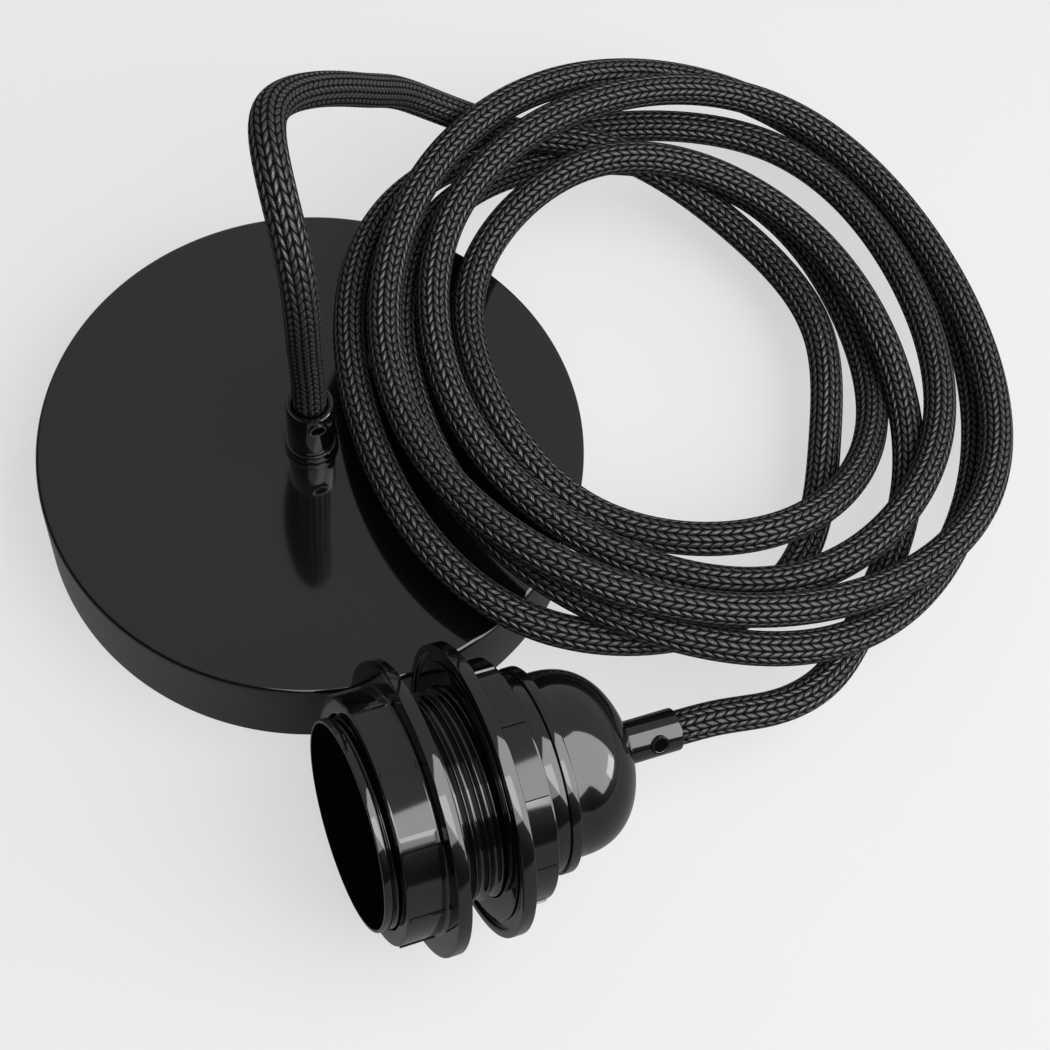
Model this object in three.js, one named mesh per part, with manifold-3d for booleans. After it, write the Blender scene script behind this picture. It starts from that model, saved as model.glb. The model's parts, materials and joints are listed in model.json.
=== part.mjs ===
// Pendant cord set: ceiling canopy, textile cord and a metal lamp holder with two shade rings.
// Millimetres, +Z up. The set lies on a surface at z = 0, as it is packed and photographed.
// Turned pieces are drawn as [radius, height] profiles and revolved. Every piece is one closed solid.
import * as THREE from 'three';
import { mergeVertices } from 'three/addons/utils/BufferGeometryUtils.js';
import Module from 'manifold-3d';

const wasm = await Module();
wasm.setup();

// Clearances
const SEAT = 0.3;            // gap where a piece rests on its carrier
const RUN = 0.3;             // radial gap of a piece that slides or screws over another
const FACE = 0.1;            // gap between flat faces that a nut or screw pulls together
const WELD = 1e-4;           // points closer than this become one

// Places of the two turned groups on the surface
const CANOPY_Y = 28.2;
const HOLDER = { x: -10.6, y: -55.2, z: 29.5, tilt: 6.58 };   // front flange centre and nose-up angle

// Canopy
const CANOPY = { radius: 55, height: 20.7, wall: 1.2, face: 1.5, edge: 1, sides: 52 };
const COLLAR = { radius: 5.4, height: 2.2 };

// Cord and its grips
const CORD_RADIUS = 3.4;
const GRIP_BORE = CORD_RADIUS + 0.2;
const CANOPY_GRIP = { radius: 4.75, rise: 15.5, stem: 4, stemDrop: 7, rim: 0.5 };
const CANOPY_GRIP_SCREW = { below: 3, angle: 270 };    // below the grip's mouth, and its direction
const HOLDER_GRIP = { radius: 4.15, outer: -55.2, inner: -37.5, rim: 0.5 };
const HOLDER_GRIP_SCREW = { at: -50.2, angle: 309 };
const SET_SCREW = { radius: 1.1, hole: 1.4, boss: 1.9, bossRise: 0.35, sunk: 0.1, slot: 0.45 };
const NUT = { acrossFlats: 14, height: 3, sides: 6 };
const WASHER = { radius: 7.5, height: 0.8 };

// Threaded shell of the lamp holder, heights measured from the front flange towards the mouth
const THREAD = { pitch: 2.5, crest: 20, root: 19, from: -17, to: 8.8, steps: 24 };
const SHELL = { mouth: 10.8, bore: 18, flare: 19.3, band: 19.4, rear: -25 };

// Shade rings
const RING = { bore: THREAD.crest + RUN, flange: 28, thickness: 2.6, fillet: 1.6, edge: 0.35 };
const GROOVE = { inner: 24.6, outer: 26.4, depth: 0.8 };
const RIB = { count: 10, first: 33, width: 0.7, rise: 0.4 };
const FRONT_RING = { collar: 23.4, length: 7.9 };
const REAR_RING = { collar: 23.2, length: 6.4, face: -14.9 };

// Dome cap: a lip against the shell, a short neck, the dome, and a sleeve inside the shell
const DOME = { overhang: 0.5, lipHeight: 2, step: 2.1, neck: 3, length: 13.8, power: 2.35, wall: 1.1 };
const domeLip = SHELL.band + DOME.overhang;
const domeRadius = domeLip - DOME.step;
const DOME_SLEEVE = { wall: 1.1, length: 5.4 };
const DOME_BOSS = { radius: 7, thickness: 2.2 };

// Lamp socket for an E27 lamp
const SOCKET = { front: 7, floor: -14, plate: 4, skirt: 1.6, well: 14.3, rearWell: 15.4 };
const CONTACT = { pitch: 3.62, major: 13.23, minor: 12.13, sheet: 0.4, to: -2.5, hole: 7.5, steps: 12 };
const TONGUE = { width: 6, sheet: 0.6, reach: 6.5, rise: 5.5 };

// Coil: a round bundle that lies against the canopy's rim and on the surface
const COIL = { x: 77, y: 23.7, inner: 41, outer: 70, height: 15, ease: 3.5, sides: 32 };
const COIL_TIP = { tilt: 11.45, lowEdge: 151 };   // X at which its underside meets the surface

const rad = THREE.MathUtils.degToRad;
const v3 = (x, y, z) => new THREE.Vector3(x, y, z);

// Solid helpers

/** Welds a geometry, drops empty triangles and turns it so that its normals point outward. */
function closed(geometry) {
  const bare = geometry.index ? geometry.toNonIndexed() : geometry.clone();
  bare.deleteAttribute('normal');
  bare.deleteAttribute('uv');
  const merged = mergeVertices(bare, WELD);
  const at = merged.attributes.position;
  const point = (i) => new THREE.Vector3().fromBufferAttribute(at, i);
  const faces = [];
  let volume = 0;
  for (let i = 0; i < merged.index.count; i += 3) {
    const [a, b, c] = [0, 1, 2].map((k) => merged.index.getX(i + k));
    if (a === b || b === c || c === a) continue;
    faces.push([a, b, c]);
    volume += point(a).dot(point(b).cross(point(c)));
  }
  const turned = volume < 0 ? faces.map(([a, b, c]) => [a, c, b]) : faces;
  const result = new THREE.BufferGeometry();
  result.setAttribute('position', at);
  result.setIndex(turned.flat());
  return result;
}

/** Solid of revolution about Z from [radius, height] pairs that close on themselves or on the axis. */
function revolve(profile, sides = 32) {
  const onAxis = profile[0][0] === 0 && profile.at(-1)[0] === 0;
  const outline = onAxis ? profile : [...profile, profile[0]];
  const lathe = new THREE.LatheGeometry(outline.map(([r, z]) => new THREE.Vector2(r, z)), sides);
  return closed(lathe.rotateX(Math.PI / 2));
}

const disc = (radius, low, high, sides = 24) =>
  revolve([[0, low], [radius, low], [radius, high], [0, high]], sides);

const tubeWall = (bore, radius, low, high, sides = 24) =>
  revolve([[bore, low], [radius, low], [radius, high], [bore, high]], sides);

/** Straight prism of a flat outline, drawn in XY and raised along Z. */
function prism(corners, low, high) {
  const shape = new THREE.Shape(corners.map(([x, y]) => new THREE.Vector2(x, y)));
  const raised = new THREE.ExtrudeGeometry(shape, { depth: high - low, bevelEnabled: false });
  return closed(raised.translate(0, 0, low));
}

const box = (width, depth, height, x, y, z) =>
  closed(new THREE.BoxGeometry(width, depth, height).translate(x, y, z));

function toManifold(geometry) {
  return new wasm.Manifold(new wasm.Mesh({
    numProp: 3,
    vertProperties: new Float32Array(geometry.attributes.position.array),
    triVerts: new Uint32Array(geometry.index.array),
  }));
}

function fromManifold(manifold) {
  const mesh = manifold.getMesh();
  const geometry = new THREE.BufferGeometry();
  geometry.setAttribute('position', new THREE.Float32BufferAttribute(mesh.vertProperties, 3));
  geometry.setIndex(Array.from(mesh.triVerts));
  return geometry;
}

const fold = (method) => (first, ...rest) =>
  fromManifold(rest.reduce((body, tool) => body[method](toManifold(tool)), toManifold(first)));
const join = fold('add');
const cut = fold('subtract');
const overlap = fold('intersect');

/**
 * Threaded rod about Z. Rows of points follow one right-hand helix, so that the seam joins row j
 * to the row one turn higher. profile holds [share of the pitch, radius] pairs for one tooth.
 */
function threadedRod(profile, pitch, low, high, steps) {
  const perTurn = profile.length;
  const turns = Math.ceil((high - low) / pitch) + 2;
  const rows = turns * perTurn;
  const start = low - 1.5 * pitch;
  const points = [];
  for (let row = 0; row < rows + perTurn; row++) {
    const [share, radius] = profile[row % perTurn];
    const base = start + (Math.floor(row / perTurn) + share) * pitch;
    for (let i = 0; i < steps; i++) {
      const turn = i / steps;
      const angle = 2 * Math.PI * turn;
      points.push(radius * Math.cos(angle), radius * Math.sin(angle), base + pitch * turn);
    }
  }
  const id = (row, i) => (i === steps ? (row + perTurn) * steps : row * steps + i);
  const faces = [];
  for (let row = 0; row < rows - 1; row++) {
    for (let i = 0; i < steps; i++) {
      const [a, b] = [id(row, i), id(row, i + 1)];
      const [c, d] = [id(row + 1, i + 1), id(row + 1, i)];
      faces.push(a, b, c, a, c, d);
    }
  }
  // The ends close with fans from the axis over one turn and the step at the seam.
  for (const [row, flip] of [[0, false], [rows - 1, true]]) {
    const loop = [];
    for (let i = 0; i < steps; i++) loop.push(id(row, i));
    for (let k = perTurn; k > 0; k--) loop.push(id(row + k, 0));
    const centre = points.length / 3;
    points.push(0, 0, start + Math.floor(row / perTurn) * pitch + pitch / 2);
    loop.forEach((p, k) => {
      const q = loop[(k + 1) % loop.length];
      faces.push(...(flip ? [centre, p, q] : [centre, q, p]));
    });
  }
  const geometry = new THREE.BufferGeometry();
  geometry.setAttribute('position', new THREE.Float32BufferAttribute(points, 3));
  geometry.setIndex(faces);
  return closed(geometry);
}

/** Round tube along a smooth curve through hand-chosen points. */
function runTube(points, radius, sides, steps) {
  const route = new THREE.CatmullRomCurve3(points.map((p) => v3(...p)), false, 'centripetal');
  const corners = Array.from({ length: sides }, (_, i) => {
    const angle = (2 * Math.PI * i) / sides;
    return new THREE.Vector2(radius * Math.cos(angle), radius * Math.sin(angle));
  });
  const options = { steps, extrudePath: route, bevelEnabled: false };
  return closed(new THREE.ExtrudeGeometry(new THREE.Shape(corners), options));
}

// Repeated small parts

const hexagon = ({ acrossFlats, sides }) => Array.from({ length: sides }, (_, i) => {
  const angle = (2 * Math.PI * (i + 0.5)) / sides;
  const reach = acrossFlats / 2 / Math.cos(Math.PI / sides);
  return [reach * Math.cos(angle), reach * Math.sin(angle)];
});

/** Radial tool or boss: a cylinder that points outward from Z at a height and an angle. */
function spoke(radius, from, to, height, angle, sides = 16) {
  const rod = disc(radius, from, to, sides).rotateY(Math.PI / 2).rotateZ(rad(angle));
  return rod.translate(0, 0, height);
}

const hexNut = (bore, low) =>
  cut(prism(hexagon(NUT), low, low + NUT.height), disc(bore, low - 1, low + NUT.height + 1));

/** Grub screw with a driver slot, for the wall of a cord grip. */
function setScrew(wallRadius, height, angle) {
  const from = GRIP_BORE + FACE;
  const to = wallRadius - SET_SCREW.sunk;
  const body = disc(SET_SCREW.radius, from, to, 12);
  const slot = box(3, SET_SCREW.slot, 0.4, 0, 0, to - 0.05);
  return cut(body, slot).rotateY(Math.PI / 2).rotateZ(rad(angle)).translate(0, 0, height);
}

/** Cheese-head screw that stands on the plane z = seat, head up, shank down. */
function headScrew({ head, headHeight, shank, length }, seat = 0) {
  const profile = [[0, seat - length], [shank, seat - length], [shank, seat], [head, seat],
    [head, seat + headHeight], [0, seat + headHeight]];
  const slot = box(head * 2.2, head * 0.3, headHeight * 0.8, 0, 0, seat + headHeight);
  return cut(revolve(profile, 12), slot);
}

// Canopy group, drawn about its own axis with the surface at z = 0

const canopyTop = CANOPY.height;
const canopyUnder = CANOPY.height - CANOPY.face;
const gripMouth = canopyTop + CANOPY_GRIP.rise;
const gripScrewAt = gripMouth - CANOPY_GRIP_SCREW.below;
const stemHole = CANOPY_GRIP.stem + SEAT;

function canopyCup() {
  const { radius, wall, edge, sides } = CANOPY;
  const bend = [30, 60].map((a) => [
    radius - edge + edge * Math.cos(rad(a)),
    canopyTop - edge + edge * Math.sin(rad(a)),
  ]);
  return revolve([[stemHole, canopyTop], [stemHole, canopyUnder], [radius - wall - 1, canopyUnder],
    [radius - wall, canopyUnder - 1], [radius - wall, 0], [radius, 0], [radius, canopyTop - edge],
    ...bend, [radius - edge, canopyTop]], sides);
}

function canopyCollar() {
  const { radius, height } = COLLAR;
  const low = canopyTop + FACE;
  return revolve([[stemHole, low], [radius, low], [radius, low + height - 0.4],
    [radius - 0.4, low + height], [stemHole, low + height]], 24);
}

function canopyGrip() {
  const { radius, stem, stemDrop, rim } = CANOPY_GRIP;
  const shoulder = canopyTop + COLLAR.height + 2 * FACE;
  const low = canopyUnder - stemDrop;
  const body = revolve([[GRIP_BORE, low], [stem, low], [stem, shoulder], [radius, shoulder],
    [radius, gripMouth - rim], [radius - rim * 0.3, gripMouth - rim * 0.3], [radius - rim, gripMouth],
    [GRIP_BORE + 0.3, gripMouth], [GRIP_BORE, gripMouth - 0.4]], 24);
  const { angle } = CANOPY_GRIP_SCREW;
  const boss = spoke(SET_SCREW.boss, GRIP_BORE + 0.5, radius + SET_SCREW.bossRise, gripScrewAt, angle);
  const hole = spoke(SET_SCREW.hole, 1, radius + 3, gripScrewAt, angle);
  return cut(join(body, boss), hole);
}

const washerLow = canopyUnder - FACE - WASHER.height;
const canopyGroup = {
  canopy_cup: [canopyCup(), 'pearl'],
  canopy_collar: [canopyCollar(), 'pearl'],
  canopy_grip: [canopyGrip(), 'pearl'],
  canopy_grip_screw: [setScrew(CANOPY_GRIP.radius, gripScrewAt, CANOPY_GRIP_SCREW.angle), 'pearl'],
  canopy_washer: [tubeWall(stemHole, WASHER.radius, washerLow, canopyUnder - FACE), 'zinc'],
  canopy_locknut: [hexNut(CANOPY_GRIP.stem + 0.2, washerLow - FACE - NUT.height), 'zinc'],
};

// Terminal block under the canopy's face: a plastic strip with one brass sleeve and two screws per pole
const BLOCK = { x: -30, poles: 3, pitch: 9, width: 27, depth: 17, height: 11, sleeveUp: 4.2 };
const SLEEVE = { radius: 2.6, bore: 1.5, well: 2.2, screwReach: 4.2 };
const TERMINAL_SCREW = { head: 1.8, headHeight: 1.2, shank: 1.1, length: 1.75 };
const blockTop = canopyUnder - SEAT;
const sleeveHeight = blockTop - BLOCK.height + BLOCK.sleeveUp;
const poleY = (pole) => (pole - (BLOCK.poles - 1) / 2) * BLOCK.pitch;

function terminalHousing() {
  const tools = [];
  for (let pole = 0; pole < BLOCK.poles; pole++) {
    const y = poleY(pole);
    tools.push(disc(SLEEVE.radius + SEAT, -BLOCK.depth, BLOCK.depth, 12).rotateY(Math.PI / 2)
      .translate(BLOCK.x, y, sleeveHeight));
    for (const side of [-1, 1]) {
      tools.push(disc(SLEEVE.well, sleeveHeight - BLOCK.height, sleeveHeight, 10)
        .translate(BLOCK.x + side * SLEEVE.screwReach, y, 0));
    }
  }
  const body = box(BLOCK.depth, BLOCK.width, BLOCK.height, BLOCK.x, 0, blockTop - BLOCK.height / 2);
  return cut(body, ...tools);
}

function terminalSleeve(pole) {
  const half = BLOCK.depth / 2 - 1;
  const sleeve = tubeWall(SLEEVE.bore, SLEEVE.radius, -half, half, 12).rotateY(Math.PI / 2)
    .translate(BLOCK.x, poleY(pole), sleeveHeight);
  const taps = [-1, 1].map((side) => disc(1.3, sleeveHeight - 4, sleeveHeight, 8)
    .translate(BLOCK.x + side * SLEEVE.screwReach, poleY(pole), 0));
  return cut(sleeve, ...taps);
}

/** Clamp screw of one pole; its head points down, out of the canopy's open side. */
function terminalScrew(pole, side) {
  const seat = sleeveHeight - SLEEVE.radius - FACE;
  const screw = headScrew(TERMINAL_SCREW).rotateX(Math.PI);
  return screw.translate(BLOCK.x + side * SLEEVE.screwReach, poleY(pole), seat);
}

canopyGroup.terminal_housing = [terminalHousing(), 'ivory_plastic'];
for (let pole = 0; pole < BLOCK.poles; pole++) {
  canopyGroup[`terminal_sleeve_${pole + 1}`] = [terminalSleeve(pole), 'brass'];
  canopyGroup[`terminal_screw_${2 * pole + 1}`] = [terminalScrew(pole, -1), 'zinc'];
  canopyGroup[`terminal_screw_${2 * pole + 2}`] = [terminalScrew(pole, 1), 'zinc'];
}

// Cord end in the canopy grip, and its three cores to the terminal block
const tailEnd = 9.5;
canopyGroup.cord_tail_canopy = [disc(CORD_RADIUS, tailEnd, gripMouth - 0.1, 20), 'cord'];
const CORE = { radius: 1, sides: 6, steps: 7, spread: 1.5 };
const CORE_NAMES = ['live', 'neutral', 'earth'];
const coreTube = (route) => runTube(route, CORE.radius, CORE.sides, CORE.steps);
CORE_NAMES.forEach((name, i) => {
  const angle = rad(120 * i + 60);
  const [x, y] = [CORE.spread * Math.cos(angle), CORE.spread * Math.sin(angle)];
  const pole = BLOCK.poles - 1 - i;
  const mouth = BLOCK.x + BLOCK.depth / 2;
  const route = [[x, y, tailEnd - 0.2], [x - 0.6, y, 6.4], [x - 5, y * 1.2 + poleY(pole) * 0.2, 4.6],
    [mouth + 6, poleY(pole) * 0.9, 6.5], [mouth + 2, poleY(pole), sleeveHeight],
    [mouth - 0.7, poleY(pole), sleeveHeight]];
  canopyGroup[`core_${name}_canopy`] = [coreTube(route), `core_${name}`];
});

// Holder group, drawn about its own axis: z = 0 is the front flange's face, +Z looks out of the mouth

/** Outer thread: trapezoid teeth on one helix, trimmed to length. */
function holderShell() {
  const { pitch, crest, root, from, to, steps } = THREAD;
  const tooth = [[0, root], [0.3, root], [0.5, crest], [0.72, crest]];
  const rod = threadedRod(tooth, pitch, from, to, steps);
  const thread = overlap(rod, disc(crest + 1, from, to));
  const lip = revolve([[0, to - 0.6], [crest - 0.6, to - 0.6], [crest, to], [crest, SHELL.mouth - 0.25],
    [crest - 0.25, SHELL.mouth], [0, SHELL.mouth]]);
  const band = disc(SHELL.band, SHELL.rear, from + 0.5, 30);
  const bore = revolve([[0, SHELL.rear - 1], [SHELL.bore, SHELL.rear - 1], [SHELL.bore, SHELL.mouth - 2.2],
    [SHELL.flare, SHELL.mouth - 0.6], [SHELL.flare, SHELL.mouth + 1], [0, SHELL.mouth + 1]]);
  return cut(join(thread, lip, band), bore);
}

/** Shade ring: flange, filleted collar with grip ribs, and a groove in the clamping face. */
function shadeRing(collar, length) {
  const { bore, flange, thickness, fillet, edge } = RING;
  const bend = [30, 60].map((a) => [
    collar + fillet - fillet * Math.sin(rad(a)),
    fillet - fillet * Math.cos(rad(a)),
  ]);
  const grooveFloor = GROOVE.depth - thickness;
  const body = revolve([[bore, -thickness], [GROOVE.inner, -thickness], [GROOVE.inner, grooveFloor],
    [GROOVE.outer, grooveFloor], [GROOVE.outer, -thickness], [flange - edge, -thickness],
    [flange, edge - thickness], [flange, -edge], [flange - edge, 0], [collar + fillet, 0], ...bend,
    [collar, fillet], [collar, length - edge], [collar - edge, length], [bore, length]], 32);
  const ribs = Array.from({ length: RIB.count }, (_, i) => {
    const reach = collar + RIB.rise - bore - 1;
    const middle = collar + RIB.rise - reach / 2;
    const bar = box(reach, RIB.width, length - fillet - 0.3, middle, 0, (length + fillet) / 2);
    return bar.rotateZ(rad(RIB.first + (360 / RIB.count) * i));
  });
  return join(body, ...ribs);
}

const frontRing = shadeRing(FRONT_RING.collar, FRONT_RING.length);
const rearRing = shadeRing(REAR_RING.collar, REAR_RING.length).rotateX(Math.PI)
  .translate(0, 0, REAR_RING.face);

const lipTop = SHELL.rear - SEAT;
const lipLow = lipTop - DOME.lipHeight;
const domeShoulder = lipLow - DOME.neck;
const domeTip = domeShoulder - DOME.length;
const sleeveTop = lipTop + DOME_SLEEVE.length;
const sleeveRadius = SHELL.bore - RUN;

/** Outer line of the dome: a cylinder that closes in one superellipse; inset gives the inner line. */
function domeLine(inset, steps) {
  const { length, power } = DOME;
  return Array.from({ length: steps + 1 }, (_, i) => {
    const angle = (Math.PI / 2) * (i / steps);
    return [
      (domeRadius - inset) * Math.cos(angle) ** (2 / power),
      domeShoulder - (length - inset) * Math.sin(angle) ** (2 / power),
    ];
  });
}

function domeCap() {
  const { wall } = DOME;
  const hole = HOLDER_GRIP.radius + RUN;
  const bossTop = domeTip + DOME_BOSS.thickness;
  const outer = domeLine(0, 7).filter(([r]) => r > DOME_BOSS.radius + 0.5);
  const inner = domeLine(wall, 5).filter(([r]) => r > DOME_BOSS.radius + 1.5).reverse();
  return revolve([[sleeveRadius - DOME_SLEEVE.wall, sleeveTop], [sleeveRadius, sleeveTop],
    [sleeveRadius, lipTop], [domeLip - 0.3, lipTop], [domeLip, lipTop - 0.3], [domeLip, lipLow + 0.3],
    [domeLip - 0.4, lipLow], [domeRadius, lipLow - 0.3], ...outer, [DOME_BOSS.radius - 1.6, domeTip + 0.05],
    [hole, domeTip],
    [hole, bossTop], [DOME_BOSS.radius + 0.6, bossTop], ...inner], 28);
}

function holderGrip() {
  const { radius, outer, inner, rim } = HOLDER_GRIP;
  const { at, angle } = HOLDER_GRIP_SCREW;
  const body = revolve([[GRIP_BORE, inner], [radius, inner], [radius, outer + rim],
    [radius - rim * 0.3, outer + rim * 0.3], [radius - rim * 0.6, outer], [GRIP_BORE + 0.1, outer],
    [GRIP_BORE, outer + 0.3]], 24);
  const boss = spoke(SET_SCREW.boss, GRIP_BORE + 0.3, radius + SET_SCREW.bossRise, at, angle);
  const hole = spoke(SET_SCREW.hole, 1, radius + 3, at, angle);
  return cut(join(body, boss), hole);
}

const FLOOR_SCREW = { reach: 9.8, angles: [0, 180], hole: 1.6, past: 0.8 };   // past the tag it holds
const socketRadius = SHELL.bore - 0.4;
const socketBack = SOCKET.floor - SOCKET.plate;
const contactFrom = SOCKET.floor + SEAT;

const floorScrewAt = (angle) => [
  FLOOR_SCREW.reach * Math.cos(rad(angle)), FLOOR_SCREW.reach * Math.sin(rad(angle))];

/** Tools for the two screw holes that stand off the axis. */
const outerScrewHoles = (low, high) => FLOOR_SCREW.angles.map((angle) =>
  disc(FLOOR_SCREW.hole, low, high, 12).translate(...floorScrewAt(angle), 0));

/** Insulating body: a well for the screw shell in front, a wiring well behind, holes in its floor. */
function socketBody() {
  const { front, floor, skirt, well, rearWell } = SOCKET;
  const [radius, back] = [socketRadius, socketBack];
  const rear = back - skirt;
  const body = revolve([[0, floor], [well, floor], [well, front - 0.6], [well + 0.6, front],
    [radius - 0.6, front], [radius, front - 0.6], [radius, rear], [rearWell, rear], [rearWell, back],
    [0, back]], 30);
  const centre = disc(FLOOR_SCREW.hole, back - 1, floor + 1, 12);
  return cut(body, ...outerScrewHoles(back - 1, floor + 1), centre);
}

/** Screw shell of rolled sheet: a threaded rod less the same rod drawn one sheet smaller. */
function screwShell() {
  const { pitch, major, minor, sheet, to, hole, steps } = CONTACT;
  const from = contactFrom;
  const wave = (grow) => [0, 1, 2, 3].map((k) => {
    const share = k / 4;
    return [share, (major + minor) / 2 + grow + ((major - minor) / 2) * Math.cos(2 * Math.PI * share)];
  });
  const above = to + pitch;
  const outside = overlap(threadedRod(wave(sheet), pitch, from, to, steps), disc(major + 2, from, to));
  const inside = overlap(
    threadedRod(wave(0), pitch, from, above, steps), disc(major + 2, from + sheet, above));
  return cut(outside, inside, disc(hole, from - 1, from + 2), ...outerScrewHoles(from - 1, from + 2));
}

/** Centre contact: a flat foot on the floor and a tongue that rises and leans over the axis. */
function centreContact() {
  const { width, sheet, reach, rise } = TONGUE;
  const foot = contactFrom;
  const side = [[-reach, 0], [reach - 1, 0], [reach, 1], [0.8, rise], [-2.6, rise], [-2.6, rise - sheet],
    [0.5, rise - sheet], [reach - 1.6, 1.1], [reach - 1.8, sheet], [-reach, sheet]];
  const strip = prism(side, -width / 2, width / 2).rotateX(Math.PI / 2).translate(0, 0, foot);
  return cut(strip, disc(FLOOR_SCREW.hole, foot - 1, foot + sheet + 0.2, 12));
}

const TAG = { width: 5, length: 9, sheet: 0.8 };
const shankEnd = socketBack - SEAT - TAG.sheet - FLOOR_SCREW.past;

/** Screw through the socket's floor, from a seat above it to just past the tag behind it. */
const floorScrew = (head, headHeight, seat) =>
  headScrew({ head, headHeight, shank: 1.25, length: seat - shankEnd }, seat);
const shellScrew = (angle) =>
  floorScrew(2, 1.2, contactFrom + CONTACT.sheet + FACE).translate(...floorScrewAt(angle), 0);

/** Flat terminal tag behind the socket's floor, with a hole for its screw. */
function terminalTag(x, y) {
  const top = socketBack - SEAT;
  const plate = box(TAG.width, TAG.length, TAG.sheet, x, y, top - TAG.sheet / 2);
  return cut(plate, disc(FLOOR_SCREW.hole, top - 3, top + 1, 12).translate(x, y > 0 ? y - 2 : y + 2, 0));
}

const nutLow = domeTip + DOME_BOSS.thickness + SEAT;
const lugLow = nutLow + NUT.height + SEAT;
const LUG = { radius: 6.4, sheet: 0.8, tab: 12, width: 4, wireAt: 10, wireHole: 1.2 };

/** Earth lug on the grip's stem, above the locknut: a ring with one tab. */
function earthLug() {
  const { radius, sheet, tab, width, wireAt, wireHole } = LUG;
  const ring = disc(radius, lugLow, lugLow + sheet);
  const bar = box(tab - radius / 2, width, sheet, -(tab + radius / 2) / 2, 0, lugLow + sheet / 2);
  const stem = disc(HOLDER_GRIP.radius + 0.25, lugLow - 1, lugLow + 2);
  const wire = disc(wireHole, lugLow - 1, lugLow + 2, 12).translate(-wireAt, 0, 0);
  return cut(join(ring, bar), stem, wire);
}

const holderGroup = {
  holder_shell: [holderShell(), 'pearl'],
  shade_ring_front: [frontRing, 'pearl'],
  shade_ring_rear: [rearRing, 'pearl'],
  dome_cap: [domeCap(), 'pearl'],
  holder_grip: [holderGrip(), 'pearl'],
  holder_grip_screw: [
    setScrew(HOLDER_GRIP.radius, HOLDER_GRIP_SCREW.at, HOLDER_GRIP_SCREW.angle), 'pearl'],
  holder_locknut: [hexNut(HOLDER_GRIP.radius + 0.25, nutLow), 'zinc'],
  earth_lug: [earthLug(), 'brass'],
  socket_body: [socketBody(), 'black_plastic'],
  screw_shell: [screwShell(), 'brass'],
  shell_screw_1: [shellScrew(FLOOR_SCREW.angles[0]), 'brass'],
  shell_screw_2: [shellScrew(FLOOR_SCREW.angles[1]), 'brass'],
  centre_contact: [centreContact(), 'brass'],
  centre_screw: [floorScrew(2.2, 0.9, contactFrom + TONGUE.sheet + FACE), 'brass'],
  tag_live: [terminalTag(0, 2), 'brass'],
  tag_neutral: [terminalTag(FLOOR_SCREW.reach, -2), 'brass'],
};

// Cord end in the holder grip, and its three cores to the tags and the lug
const holderTail = -34.5;
holderGroup.cord_tail_holder = [disc(CORD_RADIUS, HOLDER_GRIP.outer + 0.1, holderTail, 20), 'cord'];
const tagBack = socketBack - SEAT - TAG.sheet - CORE.radius - SEAT;
const holderCores = {
  live: [[0, 2.0, holderTail + 0.2], [0, 2.2, -30.5], [0, 3.4, -26], [0, 4.6, tagBack - 1.6],
    [0, 5, tagBack + 0.8]],
  neutral: [[1.6, -1, holderTail + 0.2], [2.4, -1.2, -30.5], [6, -2.4, -27], [9.2, -4, tagBack - 1.8],
    [FLOOR_SCREW.reach, -5, tagBack + 0.8]],
  earth: [[-1.6, -1, holderTail + 0.2], [-2.2, -1, -31.6], [-5, -0.6, -30.4], [-8.6, -0.2, -31.8],
    [-10, 0, -35], [-10, 0, lugLow + 1.1]],
};
for (const [name, route] of Object.entries(holderCores)) {
  holderGroup[`core_${name}_holder`] = [coreTube(route), `core_${name}`];
}

// Cord outside the grips

/** Coil bundle: one round ring with eased corners, tipped so that it meets the rim and the surface. */
function coilRing() {
  const { inner, outer, height, ease, x, y, sides } = COIL;
  const { tilt, lowEdge } = COIL_TIP;
  const ring = revolve([[inner, ease], [inner + ease, 0], [outer - ease, 0], [outer, ease],
    [outer, height - ease], [outer - ease, height], [inner + ease, height], [inner, height - ease]], sides);
  const low = (lowEdge - x) * Math.tan(rad(tilt)) + SEAT;
  return ring.rotateY(rad(tilt)).translate(x, y, low);
}

const CORD_SIDES = 8;
const canopyRun = [
  [0, CANOPY_Y, gripMouth + SEAT], [0, CANOPY_Y, 44], [-0.8, 26.6, 60], [-1.5, 24.6, 74], [-1.5, 28, 88],
  [-1.2, 36, 95.5], [0, 45, 97.6], [2.5, 53, 95.5], [7, 59.6, 90.5], [14, 65.4, 83],
  [22, 71, 73.5], [31, 77.5, 61], [39, 83, 50.5], [45.5, 85.2, 45], [47.9, 84.9, 38.4],
];
const holderRun = [
  [44.45, HOLDER.y, 23.15], [54, HOLDER.y, 22], [64, -56.2, 20.8], [74, -57.6, 19.6],
  [83.5, -57.8, 19], [90.6, -54.6, 19], [92.6, -49.6, 19.2], [92, -45.6, 19.4],
];

const cordGroup = {
  cord_coil: [coilRing(), 'cord'],
  cord_run_canopy: [runTube(canopyRun, CORD_RADIUS, CORD_SIDES, 22), 'cord'],
  cord_run_holder: [runTube(holderRun, CORD_RADIUS, CORD_SIDES, 10), 'cord'],
};

// Assembly

const COLOURS = {
  pearl: 0x1b1b1e, cord: 0x1a1a1c, zinc: 0xa8aaac, brass: 0xb89a55, black_plastic: 0x151515,
  ivory_plastic: 0xd9d4c4, core_live: 0x5a3320, core_neutral: 0x2f5aa0, core_earth: 0x6f9a3a,
};

const part = new THREE.Group();
part.name = 'pendant_cord_set';

function place(pieces, matrix) {
  for (const [name, [geometry, finish]] of Object.entries(pieces)) {
    const material = new THREE.MeshStandardMaterial({ color: COLOURS[finish] });
    material.name = finish;
    const mesh = new THREE.Mesh(geometry.applyMatrix4(matrix), material);
    mesh.name = name;
    part.add(mesh);
  }
}

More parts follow.
